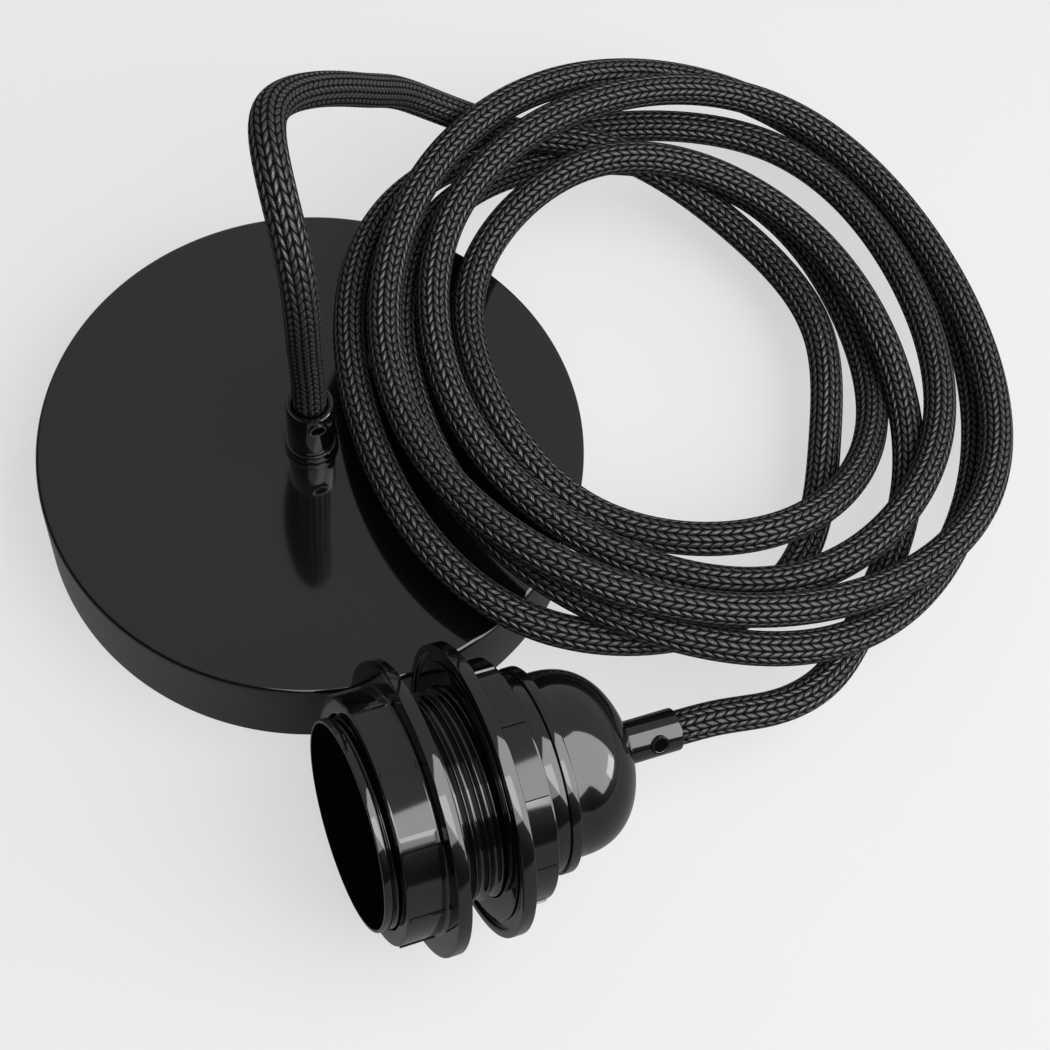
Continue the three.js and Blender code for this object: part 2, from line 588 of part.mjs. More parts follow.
const canopyPlace = new THREE.Matrix4().makeTranslation(0, CANOPY_Y, 0);
const holderPlace = new THREE.Matrix4().makeTranslation(HOLDER.x, HOLDER.y, HOLDER.z)
  .multiply(new THREE.Matrix4().makeRotationY(rad(HOLDER.tilt) - Math.PI / 2));

place(canopyGroup, canopyPlace);
place(holderGroup, holderPlace);
place(cordGroup, new THREE.Matrix4());

export default part;
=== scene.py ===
# %% [markdown]
# # Pendant cord set
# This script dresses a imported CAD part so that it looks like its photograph. The part is a round
# ceiling canopy, a coiled textile cord and a lamp holder with shade rings, all in black pearl.
# CAD sizes are in millimetres and the scene's are in metres, so the first cell names that step once.

# %% Set-up
import json

import bmesh
import bpy
import numpy as np
from mathutils import Matrix


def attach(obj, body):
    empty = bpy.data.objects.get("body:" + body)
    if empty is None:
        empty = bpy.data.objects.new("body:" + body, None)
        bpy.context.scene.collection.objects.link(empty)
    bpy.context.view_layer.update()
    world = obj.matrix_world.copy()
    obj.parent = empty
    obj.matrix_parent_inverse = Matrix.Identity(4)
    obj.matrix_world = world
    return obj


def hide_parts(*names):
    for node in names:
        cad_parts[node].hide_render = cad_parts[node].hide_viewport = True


MM = 0.001
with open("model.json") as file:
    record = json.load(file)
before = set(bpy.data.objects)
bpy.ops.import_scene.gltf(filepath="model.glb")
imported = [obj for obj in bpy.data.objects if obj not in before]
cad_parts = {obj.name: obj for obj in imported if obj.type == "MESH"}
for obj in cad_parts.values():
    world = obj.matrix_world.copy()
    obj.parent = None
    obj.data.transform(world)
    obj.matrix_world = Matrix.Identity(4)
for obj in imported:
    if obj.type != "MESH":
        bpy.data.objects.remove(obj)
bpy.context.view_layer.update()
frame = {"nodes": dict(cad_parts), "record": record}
nodes = frame["nodes"]
print("set-up: CAD nodes", len(nodes))

# %% [markdown]
# ## Camera
# Circles keep their shape only when seen square on, so the ellipses of the canopy and the holder
# give away where the camera stood. The place and the two directions below come from that fit.
# The third direction follows from them, because a camera's axes are square to each other.

# %% Camera
CAMERA_AT = np.array([-65.6, -201.6, 442.9]) * MM
CAMERA_RIGHT = np.array([0.93189, -0.35914, 0.05102])
CAMERA_UP = np.array([0.29693, 0.83602, 0.46141])
SENSOR_MM = 36.0
FOCAL_PER_WIDTH = 2400 / 1050
CLIP_START = 10 * MM

scene = bpy.context.scene
camera = bpy.data.objects.new("camera", bpy.data.cameras.new("camera"))
scene.collection.objects.link(camera)
scene.camera = camera
camera.data.sensor_width = SENSOR_MM
camera.data.lens = SENSOR_MM * FOCAL_PER_WIDTH
camera.data.clip_start = CLIP_START
axes = np.eye(4)
axes[:3, 0] = CAMERA_RIGHT
axes[:3, 1] = CAMERA_UP
axes[:3, 2] = np.cross(CAMERA_RIGHT, CAMERA_UP)
axes[:3, 3] = CAMERA_AT
camera.matrix_world = Matrix(axes.tolist())
print("camera: focal length", round(camera.data.lens, 1), "mm")

# %% [markdown]
# ## From a grid to a mesh
# Every piece here is a grid of points: rows along a profile, columns round an axis. The pieces could
# be modelled by hand, or with the Spin tool. A grid that is worked out in whole arrays is chosen
# instead, because each size is then a named value and the piece can be made again at once. One
# function turns any such grid into a mesh.

# %% From a grid to a mesh
SHARP = np.radians(32)


def mesh_from_grid(name, grid, closed_rows=False, uv=None, sharp=SHARP):
    """Mesh of a grid of points [row, column, xyz] whose columns wrap round.

    Face (i, j) joins points (i, j), (i, j+1), (i+1, j+1) and (i+1, j). With closed_rows the last row
    joins the first. Points are in metres in the shared frame, and normals point to the right of the
    profile's direction of travel.
    """
    rows, columns = grid.shape[:2]
    i, j = np.meshgrid(np.arange(rows if closed_rows else rows - 1), np.arange(columns), indexing="ij")
    below, beside = (i + 1) % rows, (j + 1) % columns
    corners = [i * columns + j, i * columns + beside, below * columns + beside, below * columns + j]
    faces = np.stack(corners, -1).reshape(-1, 4)
    mesh = bpy.data.meshes.new(name)
    mesh.vertices.add(rows * columns)
    mesh.vertices.foreach_set("co", grid.reshape(-1).astype(np.float32))
    mesh.loops.add(faces.size)
    mesh.loops.foreach_set("vertex_index", faces.reshape(-1).astype(np.int32))
    mesh.polygons.add(len(faces))
    mesh.polygons.foreach_set("loop_start", np.arange(0, faces.size, 4, dtype=np.int32))
    mesh.polygons.foreach_set("use_smooth", np.ones(len(faces), bool))
    mesh.update(calc_edges=True)
    mesh.set_sharp_from_angle(angle=sharp)
    if uv is not None:
        around, along = uv
        u = np.stack([around[j], around[j] + around[1], around[j] + around[1], around[j]], -1)
        v = np.stack([along[i], along[i], along[below], along[below]], -1)
        layer = mesh.uv_layers.new(name="UVMap")
        layer.data.foreach_set("uv", np.stack([u, v], -1).reshape(-1).astype(np.float32))
    made = bpy.data.objects.new(name, mesh)
    scene.collection.objects.link(made)
    return made


def close_ends(made):
    """Closes the open first and last rows of a tube with one flat face each."""
    shape = bmesh.new()
    shape.from_mesh(made.data)
    open_edges = [edge for edge in shape.edges if edge.is_boundary]
    bmesh.ops.holes_fill(shape, edges=open_edges, sides=0)
    bmesh.ops.recalc_face_normals(shape, faces=shape.faces)
    shape.to_mesh(made.data)
    shape.free()


print("grid to mesh: edges over", round(np.degrees(SHARP)), "degrees are shaded as sharp")

# %% [markdown]
# ## Profiles
# The real pieces are turned or moulded, and none of their edges is truly sharp: a small rounding
# catches a thin line of light. A Bevel modifier could round the finished mesh. Here the corners of
# the profile are rounded before it is turned, which costs few points and can't go wrong at a seam.
# The canopy and the lamp holder are each turned about an axis of their own. So their pieces are made
# upright first, and then placed in the shared frame.


# %% Profiles
def eased(corners, ease=0.25, steps=3):
    """Profile with its corners rounded.

    Each corner p is replaced by the curve (1-t)^2 a + 2 t (1-t) p + t^2 b, where a and b lie on the
    two lines that meet at p, at the distance ease from it or at a third of a shorter line.
    """
    p = np.array(corners, float)
    out = [p[:1]]
    t = np.linspace(0, 1, steps + 1)[:, None]
    for before, corner, after in zip(p[:-2], p[1:-1], p[2:]):
        back, ahead = before - corner, after - corner
        reach_back = min(ease, np.linalg.norm(back) / 3)
        reach_ahead = min(ease, np.linalg.norm(ahead) / 3)
        a = corner + back / np.linalg.norm(back) * reach_back
        b = corner + ahead / np.linalg.norm(ahead) * reach_ahead
        out.append((1 - t) ** 2 * a + 2 * t * (1 - t) * corner + t**2 * b)
    out.append(p[-1:])
    return np.concatenate(out)


def turned_grid(profile, angles):
    """Grid of a profile [radius, height] turned about Z: x = r cos a, y = r sin a, z = height."""
    radius, height = profile[:, :1], profile[:, 1:]
    return np.stack([radius * np.cos(angles), radius * np.sin(angles), height + 0 * angles], -1)


def round_angles(count):
    return np.arange(count) * 2 * np.pi / count


def placed(grid, place):
    """Grid in millimetres about a group's own axis, moved to the shared frame in metres."""
    turn, shift = place
    return (grid @ turn.T + shift) * MM


print("profiles: a corner becomes", len(eased([(0, 0), (1, 0), (1, 1)])) - 2, "points")

# %% [markdown]
# ## Dressing
# A CAD piece can simply be given a material, and the small and hidden pieces are treated that way
# further down. The large pieces that show are made anew, with finer curves. Each of them moves with
# one body, the base or a ring, and the CAD pieces that it stands for are hidden, so that no two
# surfaces lie in one place.


# %% Dressing
def paint_rows(made, columns, first, last, material):
    """Gives the grid's faces from row first to row last another material."""
    made.data.materials.append(material)
    index = np.zeros(len(made.data.polygons), np.int32)
    index[first * columns : last * columns] = len(made.data.materials) - 1
    made.data.polygons.foreach_set("material_index", index)


def dress(made, material, body, *replaced):
    """Gives a new piece its material and body, and hides the CAD nodes that it stands for."""
    made.data.materials.append(material)
    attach(made, body)
    if replaced:
        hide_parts(*replaced)
    return made


print("dressing: ready for", len(nodes), "CAD pieces")

# %% [markdown]
# ## Material helpers
# Materials are built from numbers, not pictures. Each shared effect is a node group, so that
# several materials can use it with other strengths. The groups only feed colour, roughness,
# metallic share and bump, which is what survives when the part moves to another program.

# %% Material helpers
# The colour sockets of a Mix node, by number, since its number sockets have the same names
COLOUR_A = 6
COLOUR_B = 7
COLOUR_MIXED = 2


def add(tree, kind, inputs=None, **settings):
    """Adds a node, sets its properties and fills its inputs with numbers or links."""
    made = tree.nodes.new(kind)
    for key, value in settings.items():
        setattr(made, key, value)
    for key, value in (inputs or {}).items():
        if isinstance(value, bpy.types.NodeSocket):
            tree.links.new(value, made.inputs[key])
        else:
            made.inputs[key].default_value = value
    return made


def maths(tree, operation, a, b=0.0, c=0.0):
    """One step of arithmetic on numbers or links; MULTIPLY_ADD gives a b + c."""
    return add(tree, "ShaderNodeMath", {0: a, 1: b, 2: c}, operation=operation).outputs[0]


def new_group(name, inputs, outputs):
    """Empty node group with float inputs {name: default} and outputs {name: socket type}."""
    tree = bpy.data.node_groups.new(name, "ShaderNodeTree")
    for key, default in inputs.items():
        socket = tree.interface.new_socket(key, in_out="INPUT", socket_type="NodeSocketFloat")
        socket.default_value = default
    for key, kind in outputs.items():
        tree.interface.new_socket(key, in_out="OUTPUT", socket_type=kind)
    return tree, tree.nodes.new("NodeGroupInput"), tree.nodes.new("NodeGroupOutput")


def new_material(name, **constants):
    """Material with one Principled node, whose constants are set straight on its sockets."""
    material = bpy.data.materials.new(name)
    material.use_nodes = True
    shader = material.node_tree.nodes["Principled BSDF"]
    for key, value in constants.items():
        shader.inputs[key.replace("_", " ")].default_value = value
    return material, material.node_tree, shader


def use_group(tree, group, inputs=None):
    """Places a node group in a material with its own numbers."""
    used = tree.nodes.new("ShaderNodeGroup")
    used.node_tree = group
    for key, value in (inputs or {}).items():
        used.inputs[key].default_value = value
    return used


def grey(value):
    """Nearly neutral tone, a touch blue."""
    return (value, value, value * 1.02, 1)


print("material helpers: ready")

# %% [markdown]
# ## Braid
# A braided sleeve is a ring of narrow columns. In each column the yarns lean one way, and in the
# next they lean the other way, which gives the arrow pattern. A yarn dives under its neighbour at
# the sides of its column, and fine threads run along it. Its crown shines a little like metal,
# because smooth yarn mirrors light. The gaps between yarns are painted near black and dull: this
# is painted shade, where the yarns hide each other.
# The yarns could be modelled one by one, but this cord has many thousands of crossings. A pattern
# on the cord's own UV map is chosen, because it follows every bend and stays light.

# %% Braid
CORD_DIAMETER = 6.8
BRAID_COLUMNS = 16
BRAID_PITCH = 2.06
YARN_LEAN = 0.86
YARN_DIVE = 0.75
YARN_THREADS = 5.0
THREAD_DEPTH = 0.05
BRAID_DEPTH = 0.0006
CROWN_FROM = 0.45
CROWN_TONE = 0.12
CROWN_ROUGHNESS = 0.22
# Near-black colour of the gaps between yarns: painted shade
GAP_SHADE_TONE = 0.0005
GAP_ROUGHNESS = 0.9
DULL_SPECULAR = 0.1


def braid_group():
    """Bump height, colour, roughness and metallic share of the braid from UV.

    With column part a in -1/2..1/2 and lean s = +1 or -1, a yarn's place is b = fract(v + k s a) - 1/2.
    Its height is sqrt(1 - (2b)^2), a half circle, times 1 - d (2a)^2, which lowers it towards the
    sides of its column. A small sine across b adds the threads. Where the yarn is low, in the gaps,
    the colour turns near black and the roughness high, as painted shade.
    """
    floats = ("Roughness", "Metallic", "Height")
    outputs = {"Color": "NodeSocketColor"} | {key: "NodeSocketFloat" for key in floats}
    tree, given, out = new_group("braid", {"Lean": YARN_LEAN, "Threads": YARN_THREADS}, outputs)
    uv = add(tree, "ShaderNodeUVMap", uv_map="UVMap").outputs[0]
    split = add(tree, "ShaderNodeSeparateXYZ", {0: uv})
    u, v = split.outputs[0], split.outputs[1]
    across = maths(tree, "SUBTRACT", maths(tree, "FRACT", u), 0.5)
    odd = maths(tree, "FLOORED_MODULO", maths(tree, "FLOOR", u), 2.0)
    lean = maths(tree, "MULTIPLY_ADD", odd, -2.0, 1.0)
    slant = maths(tree, "MULTIPLY", maths(tree, "MULTIPLY", lean, across), given.outputs["Lean"])
    place = maths(tree, "SUBTRACT", maths(tree, "FRACT", maths(tree, "ADD", v, slant)), 0.5)
    doubled = maths(tree, "MULTIPLY", place, 2.0)
    left_over = maths(tree, "SUBTRACT", 1.0, maths(tree, "MULTIPLY", doubled, doubled))
    half_circle = maths(tree, "SQRT", maths(tree, "MAXIMUM", left_over, 0.0))
    side = maths(tree, "MULTIPLY", across, 2.0)
    dive = maths(tree, "MULTIPLY_ADD", maths(tree, "MULTIPLY", side, side), -YARN_DIVE, 1.0)
    yarn = maths(tree, "MULTIPLY", half_circle, dive)
    turns = maths(tree, "MULTIPLY", place, given.outputs["Threads"])
    thread = maths(tree, "SINE", maths(tree, "MULTIPLY", turns, 2 * np.pi))
    height = maths(tree, "MULTIPLY_ADD", thread, THREAD_DEPTH, yarn)
    # Low yarn, in the gaps, gets a near-black colour and high roughness: painted shade
    crown = add(tree, "ShaderNodeMapRange", {"Value": yarn, "From Min": CROWN_FROM}).outputs[0]
    ends = {"Factor": crown, COLOUR_A: grey(GAP_SHADE_TONE), COLOUR_B: grey(CROWN_TONE)}
    colour = add(tree, "ShaderNodeMix", ends, data_type="RGBA").outputs[COLOUR_MIXED]
    spread = {"Value": crown, "To Min": GAP_ROUGHNESS, "To Max": CROWN_ROUGHNESS}
    rough = add(tree, "ShaderNodeMapRange", spread)
    tree.links.new(colour, out.inputs["Color"])
    tree.links.new(rough.outputs[0], out.inputs["Roughness"])
    tree.links.new(crown, out.inputs["Metallic"])
    tree.links.new(height, out.inputs["Height"])
    return tree


def braid_material():
    material, tree, shader = new_material("cord_braid", Specular_IOR_Level=DULL_SPECULAR)
    used = use_group(tree, braid_group())
    raised = {"Height": used.outputs["Height"], "Distance": BRAID_DEPTH, "Strength": 1.0}
    bump = add(tree, "ShaderNodeBump", raised)
    tree.links.new(used.outputs["Color"], shader.inputs["Base Color"])
    tree.links.new(used.outputs["Roughness"], shader.inputs["Roughness"])
    tree.links.new(used.outputs["Metallic"], shader.inputs["Metallic"])
    tree.links.new(bump.outputs[0], shader.inputs["Normal"])
    return material


braid = braid_material()
print("braid: material", braid.name)

# %% [markdown]
# ## Cord route
# The cord arches out of the canopy, lies in a loose coil as it was packed, and ends in the holder.
# A simulation could drop it there, but it wouldn't come to lie as in the photograph. So its route is
# drawn. Where the cord is not coiled, its points are listed. In the coil a loop works them
# out: each turn goes clockwise round one centre, and a row of the table gives how far out and how
# high above the coil's tipped base the cord lies at each eighth of that turn. A smooth curve then
# runs through all points.

# %% Cord route
COIL_CENTRE = np.array([77.0, 23.7])
# The coil leans on the canopy: its base rises from this x towards the canopy
COIL_LOW_EDGE = 151.0
COIL_SLOPE = np.tan(np.radians(11.45))
FIRST_ANGLE = 90.0
STATIONS_PER_TURN = 8
CORD_STEP = 1.6

# From the canopy's grip, up over the arch and down to the coil
LEAD_IN = [
    (0, 28.2, 36.2), (0, 28.2, 44), (-0.8, 26.6, 60), (-1.5, 24.6, 74), (-1.5, 28, 88), (-1.2, 36, 95.5),
    (0, 45, 97.6), (2.5, 53, 95.5), (7, 59.6, 90.5), (14, 65.4, 83), (22, 71, 73.3), (30, 77.5, 61.5),
    (39.5, 85.2, 47), (50, 87.3, 34.6), (57.5, 86.5, 28.2), (65.5, 83, 25),
]
# From the coil to the holder's grip
LEAD_OUT = [(91, -43.5, 15), (77, -54, 17.5), (64, -56.6, 20.3), (54, -55.6, 22.05), (44.45, -55.2, 23.15)]
# One row for each turn: (distance from the centre, height above the base) at its eighths
TURNS = [
    [(55, 8), (40.5, 2.5), (34.5, 4), (35.5, 2.5), (56, 3), (72, 2.5), (67.5, 3.5), (66, 3)],
    [(62.5, 1), (64.5, 6), (57, 10), (57.5, 12), (58.5, 10.5), (50.5, 5), (49, 6.5), (51.5, 12)],
    [(56.5, 17.5), (71.5, 11), (67, 10.5), (70.5, 11.5), (67, 15.5), (63.5, 14), (60.5, 9.5), (59.5, 14)],
    [(65.5, 15.5), (74.5, 5.5), (67.5, 3.5), (68, 4), (73, 10), (64, 7), (56.5, 2.5), (56.5, 4)],
    [(54.5, 1.5), (50, 3.5), (43.5, 2), (44.5, 6), (47, 10), (43.5, 3), (41.5, 4.5), (44, 4)],
    [(45.5, 12.5), (46.5, 10), (44.5, 11), (54, 5.5)],
]


def coil_points():
    """Point of station k: at angle 90 - 45 k degrees round the centre, at the table's distance, and
    at the height of the tipped base there plus the table's height."""
    stations = [pair for turn in TURNS for pair in turn]
    points = []
    for k, (radius, rise) in enumerate(stations):
        angle = np.radians(FIRST_ANGLE - 360 / STATIONS_PER_TURN * k)
        x, y = COIL_CENTRE + radius * np.array([np.cos(angle), np.sin(angle)])
        points.append((x, y, (COIL_LOW_EDGE - x) * COIL_SLOPE + rise))
    return points


def smooth_curve(points, step):
    """Natural cubic spline through points, sampled each step.

    The second derivatives m solve the usual three-term equations, with m = 0 at both ends. Between
    two points the curve is the cubic that has those second derivatives at its ends.
    """
    p = np.array(points, float)
    at = np.concatenate([[0], np.cumsum(np.linalg.norm(np.diff(p, axis=0), axis=1))])
    h = np.diff(at)
    slopes = np.diff(p, axis=0) / h[:, None]
    system = np.eye(len(p))
    right = np.zeros_like(p)
    for i in range(1, len(p) - 1):
        system[i, i - 1 : i + 2] = h[i - 1], 2 * (h[i - 1] + h[i]), h[i]
        right[i] = 6 * (slopes[i] - slopes[i - 1])
    m = np.linalg.solve(system, right)
    s = np.linspace(0, at[-1], int(at[-1] / step) + 1)
    k = np.clip(np.searchsorted(at, s, side="right") - 1, 0, len(h) - 1)
    a, b, w = (at[k + 1] - s)[:, None], (s - at[k])[:, None], h[k][:, None]
    bend = m[k] * (a**3 / w - w * a) + m[k + 1] * (b**3 / w - w * b)
    return bend / 6 + (p[k] * a + p[k + 1] * b) / w


cord_path = smooth_curve(LEAD_IN + coil_points() + LEAD_OUT, CORD_STEP)
print("cord route: points", len(cord_path), "lowest centre", round(cord_path[:, 2].min(), 1), "mm")

# %% [markdown]
# ## Cord
# The real cord is one round sleeve from grip to grip. A Blender curve with a round bevel could draw
# it. A grid is carried along the route instead, because the braid has to know how far along and how
# far round the cord each face lies, and a ring that keeps its direction leaves no twist in it.

# %% Cord
CORD_SIDES = 32
STEEP = 0.9


def tube_grid(path, radius, sides):
    """Rings of points round a path, without twist, and the distance along it.

    Each ring's first direction is the one before, less its part along the new tangent. A ring's
    point is c + r (cos a n + sin a b), with n that direction and b square to it and the tangent.
    """
    tangent = np.gradient(path, axis=0)
    tangent /= np.linalg.norm(tangent, axis=1)[:, None]
    normal = np.empty_like(path)
    side = np.array([0.0, 0.0, 1.0]) if abs(tangent[0, 2]) < STEEP else np.array([1.0, 0.0, 0.0])
    for i, t in enumerate(tangent):
        side = side - t * (side @ t)
        side /= np.linalg.norm(side)
        normal[i] = side
    binormal = np.cross(tangent, normal)
    angles = round_angles(sides)
    ring = np.cos(angles)[:, None] * normal[:, None] + np.sin(angles)[:, None] * binormal[:, None]
    along = np.concatenate([[0], np.cumsum(np.linalg.norm(np.diff(path, axis=0), axis=1))])
    return path[:, None] + radius * ring, along


def make_cord():
    """The free cord: one tube from grip to grip with the braid wrapped round it."""
    grid, along = tube_grid(cord_path, CORD_DIAMETER / 2, CORD_SIDES)
    around = np.arange(CORD_SIDES) * BRAID_COLUMNS / CORD_SIDES
    made = mesh_from_grid("cord", grid * MM, uv=(around, along / BRAID_PITCH))
    close_ends(made)
    dress(made, braid, "base", "cord_coil", "cord_run_canopy", "cord_run_holder")
    return made, along[-1]


cord, cord_length = make_cord()
print("cord: length", round(cord_length), "mm, faces", len(cord.data.polygons))

# %% [markdown]
# ## Metal and plastic finishes
# Black pearl is a dark clear coat over metal: almost no colour of its own, and sharp reflections. It
# could be a metal with a separate coat, but the coat hides the metal. So one nearly black surface
# that refracts a little more than glass is enough, and all that shows is what it mirrors. A faint
# change of roughness keeps it from looking like a formula. The other metals and plastics use the
# same idea with other strengths.

# %% Finishes
FINE_SCALE = 900.0
FINE_DEPTH = 0.00002


def film_group():
    """Faint cloudy change of roughness and a very fine bump, on Object coordinates."""
    outputs = {"Roughness": "NodeSocketFloat", "Height": "NodeSocketFloat"}
    tree, given, out = new_group("film", {"Base": 0.05, "Change": 0.02, "Scale": 60.0}, outputs)
    where = add(tree, "ShaderNodeTexCoord").outputs["Object"]
    cloudy = {"Vector": where, "Scale": given.outputs["Scale"], "Detail": 3.0}
    cloud = add(tree, "ShaderNodeTexNoise", cloudy)
    rough = maths(tree, "MULTIPLY_ADD", cloud.outputs[0], given.outputs["Change"], given.outputs["Base"])
    fine = add(tree, "ShaderNodeTexNoise", {"Vector": where, "Scale": FINE_SCALE, "Detail": 2.0})
    tree.links.new(rough, out.inputs["Roughness"])
    tree.links.new(fine.outputs[0], out.inputs["Height"])
    return tree


film = film_group()


def coated(name, base, change, scale, bump, **constants):
    """Smooth material whose roughness is base + change times a cloud of the given scale."""
    material, tree, shader = new_material(name, **constants)
    used = use_group(tree, film, {"Base": base, "Change": change, "Scale": scale})
    raised = {"Height": used.outputs["Height"], "Distance": FINE_DEPTH, "Strength": bump}
    bumped = add(tree, "ShaderNodeBump", raised)
    tree.links.new(used.outputs["Roughness"], shader.inputs["Roughness"])
    tree.links.new(bumped.outputs[0], shader.inputs["Normal"])
    return material


def moulded(name, roughness, bump, colour, **constants):
    """Plastic: the coated material with the mould's own faint cloud."""
    return coated(name, roughness, change=0.1, scale=60, bump=bump, Base_Color=colour, **constants)


def plated(name, roughness, bump, colour):
    """Bare metal with a plated or turned skin."""
    return coated(name, roughness, change=0.15, scale=90, bump=bump, Base_Color=colour, Metallic=1.0)


pearl = coated("pearl", base=0.055, change=0.03, scale=40, bump=0.02, Base_Color=grey(0.003), IOR=1.6)
# Black plastic for the inner pieces, near black and almost without reflection. The same material paints
# shade inside the holder's mouth and in the screw holes.
dark = moulded("black_plastic", 0.7, 0.2, grey(0.001), Specular_IOR_Level=0.02)
FINISHES = {
    "pearl": pearl,
    "black_plastic": dark,
    "zinc": plated("zinc", 0.25, 0.3, grey(0.45)),
    "brass": plated("brass", 0.22, 0.2, (0.6, 0.43, 0.16, 1)),
    "ivory_plastic": moulded("ivory_plastic", 0.4, 0.4, (0.72, 0.68, 0.58, 1)),
    "core_live": moulded("core_live", 0.35, 0.3, (0.13, 0.045, 0.02, 1)),
    "core_neutral": moulded("core_neutral", 0.35, 0.3, (0.03, 0.12, 0.4, 1)),
    "core_earth": moulded("core_earth", 0.35, 0.3, (0.2, 0.38, 0.05, 1)),
}
for part in frame["record"]["subparts"]:
    part_mesh = nodes[part["node"]].data
    part_mesh.materials.clear()
    part_mesh.materials.append(FINISHES.get(part["material_slot"], dark))
print("finishes:", len(FINISHES) + 1)

# %% [markdown]
# ## Canopy
# The canopy covers the hole in the ceiling: a shallow cup with a small radius at its edge, and a
# thin collar and grip at its centre. It could be a cylinder with a Bevel and a Solidify modifier.
# Turning a profile is chosen, because it gives the wall and the inside in one step. Each profile is
# a list of corners [radius, height] that runs round the whole section, so that the turned piece is
# a closed solid with its faces outwards.

# %% Canopy
CANOPY_AT = np.array([0, 28.2, 0])
CANOPY_PLACE = (np.eye(3), CANOPY_AT)
CANOPY_RADIUS = 55.0
CANOPY_HEIGHT = 20.7
CANOPY_EDGE = 1.0
CANOPY_TOP_WALL = 1.5
CANOPY_SIDE_WALL = 1.2
STEM_HOLE = 4.3
SEAT_GAP = 0.1
COLLAR_RADIUS = 5.4
COLLAR_LENGTH = 2.2
STEM_RADIUS = 4.0
STEM_BOTTOM = 12.2
GRIP_BORE = 3.6
GRIP_RADIUS = 4.75
GRIP_LENGTH = 13.1
COLLAR_BOTTOM = CANOPY_HEIGHT + SEAT_GAP
COLLAR_TOP = COLLAR_BOTTOM + COLLAR_LENGTH
GRIP_BOTTOM = COLLAR_TOP + SEAT_GAP
GRIP_TOP = GRIP_BOTTOM + GRIP_LENGTH
EDGE_STEPS = 9
LARGE_COLUMNS = 240
SMALL_COLUMNS = 72


def make_turned(name, profile, columns, place, node):
    """Closed piece turned about its group's axis, in black pearl, that stands for one CAD node."""
    grid = placed(turned_grid(profile, round_angles(columns)), place)
    return dress(mesh_from_grid(name, grid, closed_rows=True), pearl, "base", node)


def make_canopy():
    """Cup whose outer edge is a quarter circle: r = R - e + e cos t, z = H - e + e sin t."""
    t = np.linspace(0, np.pi / 2, EDGE_STEPS)
    edge_radius = CANOPY_RADIUS - CANOPY_EDGE + CANOPY_EDGE * np.cos(t)
    edge_height = CANOPY_HEIGHT - CANOPY_EDGE + CANOPY_EDGE * np.sin(t)
    under = CANOPY_HEIGHT - CANOPY_TOP_WALL
    inner = CANOPY_RADIUS - CANOPY_SIDE_WALL
    corners = [(STEM_HOLE, CANOPY_HEIGHT), (STEM_HOLE, under), (inner, under), (inner, 0)]
    section = eased(corners + [(CANOPY_RADIUS, 0)], ease=0.3)
    profile = np.concatenate([section, np.stack([edge_radius, edge_height], -1)])
    return make_turned("canopy", profile, LARGE_COLUMNS, CANOPY_PLACE, "canopy_cup")


def make_canopy_collar():
    inside = [(STEM_HOLE, COLLAR_BOTTOM), (COLLAR_RADIUS, COLLAR_BOTTOM)]
    outside = [(COLLAR_RADIUS, COLLAR_TOP), (STEM_HOLE, COLLAR_TOP)]
    profile = eased(inside + outside, ease=0.3)
    return make_turned("canopy_collar_turned", profile, SMALL_COLUMNS, CANOPY_PLACE, "canopy_collar")


def make_canopy_grip():
    """Grip on a thinner stem that goes down through the canopy's face."""
    stem = [(STEM_RADIUS, STEM_BOTTOM), (STEM_RADIUS, GRIP_BOTTOM)]
    wall = [(GRIP_RADIUS, GRIP_BOTTOM), (GRIP_RADIUS, GRIP_TOP)]
    bore = [(GRIP_BORE, GRIP_TOP), (GRIP_BORE, STEM_BOTTOM)]
    profile = eased(stem + wall + bore + stem[:1], ease=0.35)[:-1]
    return make_turned("canopy_grip_turned", profile, SMALL_COLUMNS, CANOPY_PLACE, "canopy_grip")


made = [make_canopy(), make_canopy_collar(), make_canopy_grip()]
print("canopy:", [piece.name for piece in made])

# %% [markdown]
# ## Holder shell
# The shell of the lamp holder carries the outer thread, on which the shade rings turn. The thread
# could be cut with a helix and a Boolean modifier, but that is slow and leaves ragged faces. Here
# the radius gains a tooth that depends on height and angle together, so that it climbs one pitch in
# each turn. All heights are counted along the holder's axis from the front ring's flange, and they
# grow towards the mouth.

# %% Holder shell
HOLDER_AT = np.array([-10.6, -55.2, 29.5])
TILT = np.radians(6.58)
HOLDER_AXIS = np.array([-np.cos(TILT), 0, np.sin(TILT)])
HOLDER_UP = np.array([np.sin(TILT), 0, np.cos(TILT)])
HOLDER_PLACE = (np.stack([HOLDER_UP, [0, 1, 0], HOLDER_AXIS], -1), HOLDER_AT)
THREAD_PITCH = 2.5
THREAD_CREST = 20.0
THREAD_ROOT = 19.0
THREAD_FROM = -17.0
THREAD_TO = 8.8
TOOTH_POWER = 1.6
SHELL_BORE = 18.0
SHELL_BAND = 19.4
SHELL_BACK = -25.2
LIP_FROM = 9.2
LIP_TO = 10.8
MOUTH_RADIUS = 19.3
MOUTH_STEP = 10.2
MOUTH_FLOOR = 8.6
HOLDER_COLUMNS = 144
THREAD_ROWS = 190
# How many of the shell's last rows lie inside its mouth. They are painted near black: painted shade in the
# mouth.
MOUTH_ROWS = 11


def tooth(turns):
    """Height of a rounded tooth, ((1 - cos 2 pi t) / 2)^p: 0 in the root and 1 on the crest."""
    wave = 0.5 - 0.5 * np.cos(2 * np.pi * turns)
    return wave**TOOTH_POWER


